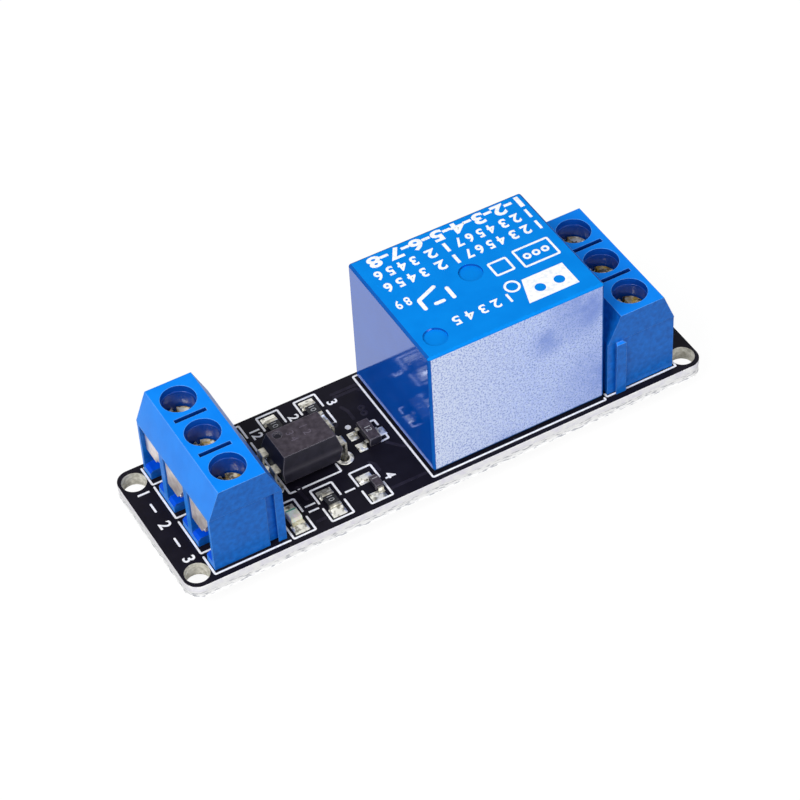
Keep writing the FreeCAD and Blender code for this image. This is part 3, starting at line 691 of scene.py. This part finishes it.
def make_panel():
    """The drilled board, with a lower edge that was snapped off ragged."""
    drills = pins + leads
    drills += [(side_x * CORNER_HOLE_X, side_y * CORNER_HOLE_Y, CORNER_HOLE_RADIUS)
               for side_x in (-1, 1) for side_y in (-1, 1)]

    def in_a_hole(point):
        return any((point.xy - Vector((x, y))).length < radius + 0.02 for x, y, radius in drills)

    bm = flat_shape([panel_outline()] + [circle(*drill, HOLE_STEPS) for drill in drills], UNDER, TOP)
    cut_walls(bm, WALL_STEP)
    for level in WALL_LEVELS:
        bmesh.ops.bisect_plane(bm, geom=bm.verts[:] + bm.edges[:] + bm.faces[:], plane_co=(0, 0, level),
                               plane_no=(0, 0, 1))
    for vertex in bm.verts:
        x, y, z = vertex.co
        if in_a_hole(vertex.co) or not 0.05 < z < BREAK_LEVEL + 0.01:
            continue
        # Ragged, and only ever inwards
        ragged = abs(noise.noise(Vector((x * 1.7, y * 1.7, z * 3))))
        fine = abs(noise.noise(Vector((x * 6.0, y * 6.0, z * 9))))
        inward = Vector((-math.copysign(1, x) if abs(x) > board_high.x - EDGE_BAND else 0,
                         -math.copysign(1, y) if abs(y) > board_high.y - EDGE_BAND else 0, 0))
        vertex.co += inward * (0.02 + 0.08 * ragged + 0.05 * fine)
    masked, sawn, drilled = 0, 1, 2
    for face in bm.faces:
        centre = face.calc_center_median()
        if abs(face.normal.z) > 0.9 and (centre.z > TOP - 0.01 or centre.z < UNDER + 0.01):
            face.material_index = masked
        else:
            face.material_index = drilled if in_a_hole(centre) else sawn
    mesh = write_mesh(bm, "board_panel", [MASK, LAMINATE, DRILLED])
    place_piece(mesh, "board_panel", "board_laminate", ["circuit_board"])


def make_tracks():
    """Copper tracks and vias that lie under the mask as faint raised lines."""
    tracks = [
        [(-5.2, 7.0), (-2.2, 7.0), (17.8, 7.0)], [(-5.2, 6.5), (-2.8, 6.5), (-2.2, 5.9)],
        [(-5.2, 5.0), (-4.9, 4.2), (-4.9, 3.0)], [(-3.7, -1.5), (-2.6, -2.8), (-2.2, -2.8)],
        [(-14.0, -2.8), (-13.85, -4.0)], [(-6.5, -2.9), (-6.1, -3.4), (-6.1, -4.3)],
        [(-14.3, -7.0), (-13.5, -7.0)], [(-6.2, -7.0), (-2.6, -7.0)],
    ]
    width, buried = 0.35, 0.03
    lines = trace(tracks, False, width, TOP - buried, buried + TRACK_RISE, COVERED_COPPER, "tracks")
    via = revolve([(0.02, -0.02), (0.4, -0.02), (0.36, 0.02), (0.18, 0.03), (0.12, 0.0), (0.02, -0.005)], 20)
    spots = on_board(((-3.55, 3.9), (-3.65, 3.15), (-13.9, -2.4), (-6.9, 3.2)))
    dots = set_at(write_mesh(via, "via", []), spots, COVERED_COPPER, "vias")
    place_piece(joined([lines, dots], "mask_tracks"), "mask_tracks", "board_laminate")


# Legend

LEGEND_WIDTH = 0.22
LEGEND_BOLD = 0.02
CHIP_LABEL_HEIGHT = 1.1
TERMINAL_LABEL_HEIGHT = 1.25


def make_legend():
    """The white outlines round the parts."""
    half_x, half_y, gap = 1.165, 2.27, 0.4
    bracket = [[(-half_x, side * gap), (-half_x, side * half_y),
                (half_x, side * half_y), (half_x, side * gap)] for side in (-1, 1)]
    pattern = trace(bracket, False, LEGEND_WIDTH, 0, INK_HEIGHT, LEGEND, "bracket")
    centres = ((-16.125, 5.8), (-11.885, 5.77), (-7.76, 5.74),
               (-16.09, -5.53), (-11.97, -5.51), (-7.71, -5.49))
    brackets = set_at(pattern, on_board(centres), LEGEND, "brackets")
    relay_left = case_low.x - 0.3
    outlines = [
        # Relay
        [(17.3, 8.07), (relay_left, 8.07), (relay_left, -7.88), (17.3, -7.88), (17.3, -7.62)],
        # Output block
        [(17.62, -7.2), (17.62, -7.6), (25.65, -7.6), (25.65, 8.0), (18.15, 8.0)],
        # Optocoupler
        [(-14.9, 2.8), (-14.9, -2.5), (-9.3, -2.5), (-9.3, -1.4)],
        [(-14.6, 2.8), (-9.3, 2.8), (-9.3, 1.6)],
        # Transistor
        [(-3.7, 1.79), (-3.3, 1.79), (-3.3, 1.04)],
        [(-3.25, -0.06), (-3.25, -1.06), (-4.1, -1.11)],
    ]
    # Input block: one run along the wire side for each cell, with a tick between them
    front, back = -25.57, -17.65
    for y0, y1 in ((7.95, 5.5), (5.13, 0.43), (-0.13, -4.8)):
        outlines.append([(front, y0), (front, y1), (front + 2.1, y1)])
    outlines.append([(front, -5.33), (front, -7.8), (back, -7.8)])
    outlines.append([(front + 0.3, 7.95), (back, 7.95)])
    lines = trace(outlines, False, LEGEND_WIDTH, TOP, INK_HEIGHT, LEGEND, "outlines")
    dot = flat_shape([circle(-5.95, 2.25, 0.3, 24)], TOP, TOP + INK_HEIGHT)
    place_piece(joined([lines, brackets, write_mesh(dot, "dot", [])], "legend_outlines"),
                "legend_outlines", "board_laminate")


def make_numbers():
    """Plain numbers beside the parts and the terminals, read from the wire side."""
    labels = [("12", -14.5, 6.75), ("2", -10.35, 6.6), ("3", -6.15, 6.4), ("11", -14.5, -4.7),
              ("1", -10.35, -5.05), ("4", -6.15, -5.05)]
    labels = [(*label, CHIP_LABEL_HEIGHT) for label in labels]
    # The first number keeps clear of the corner hole
    furthest = 4.6
    for number in (1, 2, 3):
        y = min(middle(f"input_screw_{number}").y, furthest)
        labels.append((str(number), -27.45, y + 0.42, TERMINAL_LABEL_HEIGHT))
    marks = [lettering(text, (x, y, TOP), height, TOWARDS_NEAR, INK_HEIGHT, LEGEND_BOLD, LEGEND)
             for text, x, y, height in labels]
    dashes = [[(-26.85, y + 0.55), (-26.85, y - 0.55)] for y in (2.75, -2.35)]
    marks.append(trace(dashes, False, LEGEND_WIDTH, TOP, INK_HEIGHT, LEGEND, "dashes"))
    place_piece(joined(marks, "legend_numbers"), "legend_numbers", "board_laminate")


# Solder

PAD_MARGIN = 0.4


def lifted_patch(width, y0, y1, level, steps_x=10, steps_y=14):
    """A closed patch whose grid a function of (share across, y) lifts, with a skirt sunk into the board."""
    bm = bmesh.new()
    rows = []
    for j in range(steps_y + 1):
        y = y0 + (y1 - y0) * j / steps_y
        row = []
        for i in range(steps_x + 1):
            across = 2 * i / steps_x - 1
            row.append(bm.verts.new((across * width / 2, y, max(level(across, y), 0.0))))
        rows.append(row)
    for low, high in zip(rows, rows[1:]):
        for i in range(steps_x):
            bm.faces.new((low[i], low[i + 1], high[i + 1], high[i]))
    skirt = bmesh.ops.extrude_edge_only(bm, edges=[e for e in bm.edges if e.is_boundary])["geom"]
    for vertex in [v for v in skirt if isinstance(v, bmesh.types.BMVert)]:
        vertex.co.z = -0.02
    bmesh.ops.holes_fill(bm, edges=[e for e in bm.edges if e.is_boundary])
    bmesh.ops.recalc_face_normals(bm, faces=bm.faces)
    return bm


def solder_mound(length, width, height, reach):
    """Solder on a chip's pad: flat under the chip, then a hollow slope from its end to the pad's rim.
    The chip end is at y = 0 and the slope runs to +y."""
    def level(across, y):
        rim = 1 - abs(across) ** 5
        along = 0 if y < 0 else max(0.0, 1 - y / reach)
        fall = min(1.0, (length - y) / 0.18)
        return PAD_THICKNESS * min(1.0, rim * 3) * fall + (height - PAD_THICKNESS) * along ** 2.1 * rim ** 0.6
    return lifted_patch(width, -0.3, length, level)


def solder_pillow(width, length, height):
    """Solder on a lead's square pad, swollen in the middle."""
    def level(across, y):
        return height * (max(0.0, 1 - across ** 4) * max(0.0, 1 - (2 * y / length) ** 4)) ** 0.6
    return lifted_patch(width, -length / 2, length / 2, level)


def make_pad_solder():
    """Fillets at the chips' ends, pads under the transistor and rings round the optocoupler's leads."""
    ends = []
    for node, inset, lift in (("resistor_1_caps", 0, 1), ("resistor_2_caps", 0, 1), ("resistor_3_caps", 0, 1),
                              ("led_1_base", 0, 0.72), ("led_2_base", 0, 0.72), ("diode_leads", 0.2, 0.42)):
        low, high = span(node)
        x = -7.85 if node == "diode_leads" else (low.x + high.x) / 2
        for turn, y in ((0, high.y - inset), (math.pi, low.y + inset)):
            ends.append(((x, y, TOP), turn, (1, 1, lift)))
    mound = write_mesh(solder_mound(0.9, 1.56, 0.42, 0.78), "mound", [])
    fillets = set_at(mound, ends, SOLDER, "chip_fillets")

    low, high = span("transistor_leads")
    pads = ((low.x - 0.1, low.y + 0.3), (low.x - 0.1, high.y - 0.3), (high.x + 0.1, (low.y + high.y) / 2))
    pillow = write_mesh(solder_pillow(0.95, 1.15, 0.13), "pillow", [])
    pillows = set_at(pillow, on_board(pads), SOLDER, "lead_pads")

    # Plated rings, with the barrel that lines each hole
    radius = leads[0][2]
    barrel_end = UNDER - TOP + 0.02
    rim = radius + PAD_MARGIN
    ring = revolve([(radius - 0.03, barrel_end), (radius - 0.001, barrel_end), (radius, -0.01), (rim, -0.01),
                    (rim - 0.04, 0.045), (radius + 0.2, 0.06), (radius - 0.03, 0.03)], 36)
    rings = on_board([(x, y) for x, y, hole in leads])
    plated = set_at(write_mesh(ring, "ring", []), rings, SOLDER, "plated_rings")
    place_piece(joined([fillets, pillows, plated], "pad_solder"), "pad_solder", "solder", ["top_solder"])


def make_underside_joints():
    """A hollow-sided cone of solder round every pin on the underside."""
    height = 1.3
    cone = revolve([(0.3, 0.0), (1.0, 0.0), (0.98, -0.06), (0.78, -0.16), (0.6, -0.34), (0.47, -0.62),
                    (0.4, -0.95), (0.36, -height), (0.3, -height + 0.02)], 28)
    places = [((x, y, UNDER), 0, (radius + PAD_MARGIN, radius + PAD_MARGIN, 1))
              for x, y, radius in pins + leads]
    cones = set_at(write_mesh(cone, "cone", []), places, SOLDER, "underside_joints")
    place_piece(cones, "underside_joints", "solder", ["underside_solder"])


# Relay

def make_relay_case():
    """The case with its top set down by the print's thickness and each face in its own finish."""
    bm = copy_of("relay_cover")
    for vertex in bm.verts:
        if vertex.co.z > case_high.z - 0.35:
            vertex.co.z -= INK_HEIGHT
    top, polished_shade, near_painted_light, edges = 0, 1, 2, 3
    for face in bm.faces:
        centre = face.calc_center_median()
        normal = face.normal
        flat = max(abs(normal.x), abs(normal.y), abs(normal.z)) > 0.985
        at_top = centre.z > case_high.z - 0.4
        if at_top and (normal.z > 0.985 or not flat and normal.z > 0.2 and normal.y < -0.1):
            face.material_index = top
        # Rounded corners take a deep blue of painted shade
        elif not flat:
            face.material_index = edges
        # The near face takes a pale tone of painted highlight with patches of painted shade
        elif normal.y < -0.9 and centre.y < case_low.y + 0.05:
            face.material_index = near_painted_light
        # Every other flat face takes the darker blue of painted shade
        else:
            face.material_index = polished_shade
    mesh = write_mesh(bm, "relay_case", [CASE_TOP, CASE_SIDE_SHADE, CASE_NEAR, CASE_EDGE_SHADE])
    place_piece(mesh, "relay_case", "relay_case", ["relay_cover"])


def box_path(x0, x1, y0, y1):
    return [(x0, y0), (x1, y0), (x1, y1), (x0, y1)]


def make_relay_print():
    """A plain pin key: numbers in rows, a contact symbol, a coil symbol and a pin layout."""
    z = case_high.z - INK_HEIGHT
    # Rows of digits as text, x and y of their start, height, width and weight
    rows = [("1-2-3-4-5-6-7-8", 16.7, 7.5, 1.65, 17.0, 0.035)]
    for y in (5.45, 3.55):
        rows += [("1 2 3", 16.5, y, 1.3, 3.3, 0.03), ("4 5 6 7", 12.6, y, 1.3, 4.4, 0.03),
                 ("1 2", 7.4, y, 1.3, 2.4, 0.03), ("3 4 5 6", 4.0, y, 1.3, 4.6, 0.03)]
    rows += [("8 9", 0.7, 0.9, 1.2, 1.6, 0.02), ("1 2 3 4 5", 8.8, -3.8, 1.2, 6.2, 0.02)]
    marks = [lettering(text, (x, y, z), height, TOWARDS_LEFT, INK_HEIGHT, bold, PRINT, width)
             for text, x, y, height, width, bold in rows]
    # Pin layout: a frame with three round pins. Coil: a plain frame. Then a round locating mark
    lines = [box_path(12.2, 16.0, -1.6, 0.9)]
    lines += [circle(x, -0.35, 0.3, 20) for x in (13.1, 14.1, 15.1)]
    lines += [box_path(9.3, 11.2, -1.2, 0.6), circle(9.7, -3.2, 0.7, 28)]
    marks.append(trace(lines, True, 0.24, z, INK_HEIGHT, PRINT, "symbol_lines"))
    # Contact: two posts and the moving arm
    posts = [[(1.3, -1.5), (1.3, -0.2), (3.4, 0.7)], [(4.4, -1.5), (4.4, -0.1)], [(2.5, -1.4), (3.3, -1.4)]]
    marks.append(trace(posts, False, 0.42, z, INK_HEIGHT, PRINT, "contact_posts"))
    block = flat_shape([[(9.9, -6.05), (15.4, -6.05), (15.4, -2.9), (10.9, -2.9)], circle(11.9, -4.7, 0.55),
                        circle(14.0, -4.7, 0.55)], z, z + INK_HEIGHT)
    marks.append(write_mesh(block, "block", [PRINT]))
    place_piece(joined(marks, "relay_print"), "relay_print", "relay_case")


# Terminal blocks

WELL_RADIUS = 1.75
SLIT_WIDTH = 0.45
SLIT_LENGTH = 3.3
SLIT_DEPTH = 2.6
TRAY_HEIGHT = 2.0
SIDE_FINISH, SHADED_WELL_FINISH, TOP_FINISH, SHADED_END_FINISH, SHADED_TRAY_FINISH = range(5)


def terminal_finishes(side):
    """Tells for a face of a housing, by its centre and normal, which finish it has."""
    low, high = span(side + "_housing")
    wells = [middle(f"{side}_screw_{number}").xy for number in (1, 2, 3)]
    half_pitch = (middle("input_screw_1") - middle("input_screw_2")).length / 2
    inner = -math.copysign(1, wells[1].x)

    def finish_of_face(centre, normal):
        to_well = min((centre.xy - well).length for well in wells)
        # Well walls take a deep blue of painted shade
        if to_well < WELL_RADIUS + 0.01 and low.z + 2 < centre.z < high.z - 0.1:
            return SHADED_WELL_FINISH
        if normal.z > 0.99 and centre.z > high.z - 0.02:
            return TOP_FINISH
        # Slit walls take the same painted shade
        to_slit = abs(abs(centre.y - wells[1].y) - half_pitch)
        along_slit = abs(centre.x - wells[1].x)
        if (to_slit < SLIT_WIDTH and along_slit < SLIT_LENGTH / 2 + 0.05
                and high.z - SLIT_DEPTH - 0.1 < centre.z < high.z - 0.08):
            return SHADED_WELL_FINISH
        # Low floors in the wire entries take a deeper blue of painted shade
        if normal.z > 0.3 and centre.z < low.z + TRAY_HEIGHT:
            return SHADED_TRAY_FINISH
        # Near ends and walls that face the relay take the darker finish of painted shade
        faces_inner = normal.x * inner > 0.3 and abs(centre.x) < abs(wells[1].x)
        return SHADED_END_FINISH if normal.y < -0.35 or faces_inner else SIDE_FINISH
    return finish_of_face


def make_terminals():
    for side in ("input", "output"):
        rounded(side + "_housing", 0.06, 2, [WELL_WALL_SHADE, TERMINAL_TOP, TERMINAL_END_SHADE, TERMINAL_TRAY_SHADE],
                terminal_finishes(side))
        for number in (1, 2, 3):
            rounded(f"{side}_contact_{number}", 0.04, 1)
            rounded(f"{side}_clamp_{number}", 0.05)
            rounded(f"{side}_screw_{number}", 0.05)


# Small parts

def make_small_parts():
    def top_of(level):
        return lambda centre, normal: 1 if normal.z > 0.97 and centre.z > level else 0

    for node in ("optocoupler_body", "diode_body", "transistor_body"):
        # Top faces take the lighter charcoal of painted sheen
        rounded(node, 0.05, 2, [EPOXY_TOP_SHEEN], top_of(span(node)[1].z - 0.05))
    for node in ("optocoupler_leads", "diode_leads", "transistor_leads"):
        rounded(node, 0.02, 1, [LEADS], lambda centre, normal: 1)
    for number in (1, 2, 3):
        rounded(f"resistor_{number}_body", 0.05)
        rounded(f"resistor_{number}_caps", 0.07, 2, [LEADS], lambda centre, normal: 1)
    for number in (1, 2):
        rounded(f"led_{number}_base", 0.03, 1)
        rounded(f"led_{number}_lens", 0.08)


def make_lamp_marks():
    """A green line across each lamp chip near its far end."""
    inset_x, inset_y, width, height = 0.16, 0.2, 0.15, 0.012
    marks = []
    for number in (1, 2):
        low, high = span(f"led_{number}_lens")
        y = high.y - inset_y
        marks.append([(low.x + inset_x, y), (high.x - inset_x, y)])
    mesh = trace(marks, False, width, span("led_1_lens")[1].z, height, LAMP_MARK, "lamp_marks")
    place_piece(mesh, "lamp_marks", "lamp_base")


def make_chip_markings():
    """Faint plain pin numbers on the black parts."""
    def mark(text, node, x, y, height, material, width=None):
        corner = (x, y, span(node)[1].z)
        return lettering(text, corner, height, TOWARDS_NEAR, FAINT_HEIGHT, 0.0, material, width)

    node = "optocoupler_body"
    centre = middle(node)
    marks = [mark(text, node, centre.x + x, centre.y + 0.9, 0.8, MARKING)
             for text, x in (("1 2", 0.3), ("3 4", -1.2))]
    place_piece(joined(marks, "chip_markings"), "chip_markings", "black_epoxy")
    marks = []
    for node in ("resistor_1_body", "resistor_2_body", "resistor_3_body"):
        low, high = span(node)
        marks.append(mark("10", node, low.x + 0.3, high.y - 0.2, 0.6, CHIP_INK, 0.7))
    place_piece(joined(marks, "resistor_markings"), "resistor_markings", "resistor_film")
    marks = []
    for node, text in (("transistor_body", "12"), ("diode_body", "1")):
        centre = middle(node)
        marks.append(mark(text, node, centre.x - 0.3, centre.y + 0.35, 0.6, CHIP_INK))
    place_piece(joined(marks, "lead_part_markings"), "lead_part_markings", "black_epoxy")


# Everything that keeps its CAD mesh gets the finish of its slot
for node, piece in frame["nodes"].items():
    piece.data.materials.clear()
    piece.data.materials.append(finish_of_slot[slot_of[node]])

make_panel()
make_tracks()
make_legend()
make_numbers()
make_pad_solder()
make_underside_joints()
make_relay_case()
make_relay_print()
make_terminals()
make_small_parts()
make_lamp_marks()
make_chip_markings()


# Studio

AMBIENT = 0.42
CEILING = 0.7
LAMP_DISTANCE = 0.45
KEY_LEVEL = 0.7
KEY_SIZE = 0.2
FILL_LEVEL = 0.42
FILL_SIZE = 0.3
FLOOR_HALF = 2.0
FLOOR_LIT = 0.2
FLOOR_SEEN = 0.09
FLOOR_GLOW = 0.94


def make_world():
    """Even light for the object; white where it is seen, mirrored or looked through."""
    world = bpy.data.worlds.new("studio")
    world.use_nodes = True
    bpy.context.scene.world = world
    tree = world.node_tree
    background = tree.nodes["Background"]
    path = add(tree, "ShaderNodeLightPath").outputs
    height = add(tree, "ShaderNodeSeparateXYZ",
                 {0: add(tree, "ShaderNodeTexCoord").outputs["Generated"]}).outputs["Z"]
    walls = add(tree, "ShaderNodeMapRange", {
        "Value": height, "From Min": 0.15, "From Max": 0.6, "To Min": 1.0, "To Max": CEILING},
        interpolation_type="SMOOTHSTEP").outputs[0]
    mirrored = add(tree, "ShaderNodeMath", {0: path["Is Glossy Ray"], 1: path["Is Transmission Ray"]},
                   operation="MAXIMUM").outputs[0]
    level = add(tree, "ShaderNodeMix", {0: mirrored, 2: AMBIENT, 3: walls}).outputs[0]
    seen = add(tree, "ShaderNodeMix", {0: path["Is Camera Ray"], 2: level, 3: 1.0}).outputs[0]
    tree.links.new(seen, background.inputs["Strength"])
    background.inputs["Color"].default_value = (1, 1, 1, 1)


def make_floor():
    """A pale floor that shows white and keeps a faint shadow."""
    material = bpy.data.materials.new("pale_floor")
    material.use_nodes = True
    tree = material.node_tree
    tree.nodes.remove(tree.nodes["Principled BSDF"])
    path = add(tree, "ShaderNodeLightPath").outputs
    seen = path["Is Camera Ray"]
    for ray in ("Is Glossy Ray", "Is Transmission Ray"):
        seen = add(tree, "ShaderNodeMath", {0: seen, 1: path[ray]}, operation="MAXIMUM").outputs[0]
    lit = add(tree, "ShaderNodeBsdfDiffuse", {"Color": (FLOOR_LIT, FLOOR_LIT, FLOOR_LIT, 1)})
    shaded = add(tree, "ShaderNodeBsdfDiffuse", {"Color": (FLOOR_SEEN, FLOOR_SEEN, FLOOR_SEEN, 1)})
    glow = add(tree, "ShaderNodeEmission", {"Color": (1, 1, 1, 1), "Strength": FLOOR_GLOW})
    white = add(tree, "ShaderNodeAddShader", {0: shaded.outputs[0], 1: glow.outputs[0]})
    surface = add(tree, "ShaderNodeMixShader", {0: seen, 1: lit.outputs[0], 2: white.outputs[0]})
    output = next(node for node in tree.nodes if node.type == "OUTPUT_MATERIAL")
    tree.links.new(surface.outputs[0], output.inputs["Surface"])
    # It touches the tips of the longest pins
    z = span("coil_pin_1")[0].z * MM
    mesh = bpy.data.meshes.new("floor")
    mesh.from_pydata([(x, y, z) for x, y in box_path(-FLOOR_HALF, FLOOR_HALF, -FLOOR_HALF, FLOOR_HALF)], [],
                     [(0, 1, 2, 3)])
    mesh.materials.append(material)
    floor = loose_object(mesh)


def make_lamp(name, direction, level, size):
    """A soft square lamp that lights a face turned to it to the level given."""
    lamp = bpy.data.lights.new(name, "AREA")
    lamp.size = size
    lamp.energy = level * (math.pi * LAMP_DISTANCE) ** 2
    piece = loose_object(lamp)
    piece.location = Vector(direction).normalized() * LAMP_DISTANCE
    piece.rotation_euler = Vector(direction).to_track_quat("Z", "Y").to_euler()


def make_camera():
    """The photograph's view, worked out from the board's corners and the relay's edges."""
    place = Vector((-88.05, -170.08, 198.86)) * MM
    forward = Vector((0.31888, 0.62470, -0.71279)).normalized()
    right = forward.cross(Vector((0.37958, 0.60494, 0.69998))).normalized()
    up = right.cross(forward)
    camera = bpy.data.cameras.new("camera")
    camera.lens = 126.85
    camera.sensor_width = 36.0
    camera.clip_start = 0.01
    eye = loose_object(camera)
    eye.matrix_world = Matrix.Translation(place) @ Matrix((right, up, -forward)).transposed().to_4x4()
    bpy.context.scene.camera = eye


make_world()
make_floor()
make_lamp("key", (-0.60, -0.26, 0.757), KEY_LEVEL, KEY_SIZE)
make_lamp("fill", (0.10, -0.95, 0.30), FILL_LEVEL, FILL_SIZE)
make_camera()
bpy.context.scene.view_settings.view_transform = "Standard"
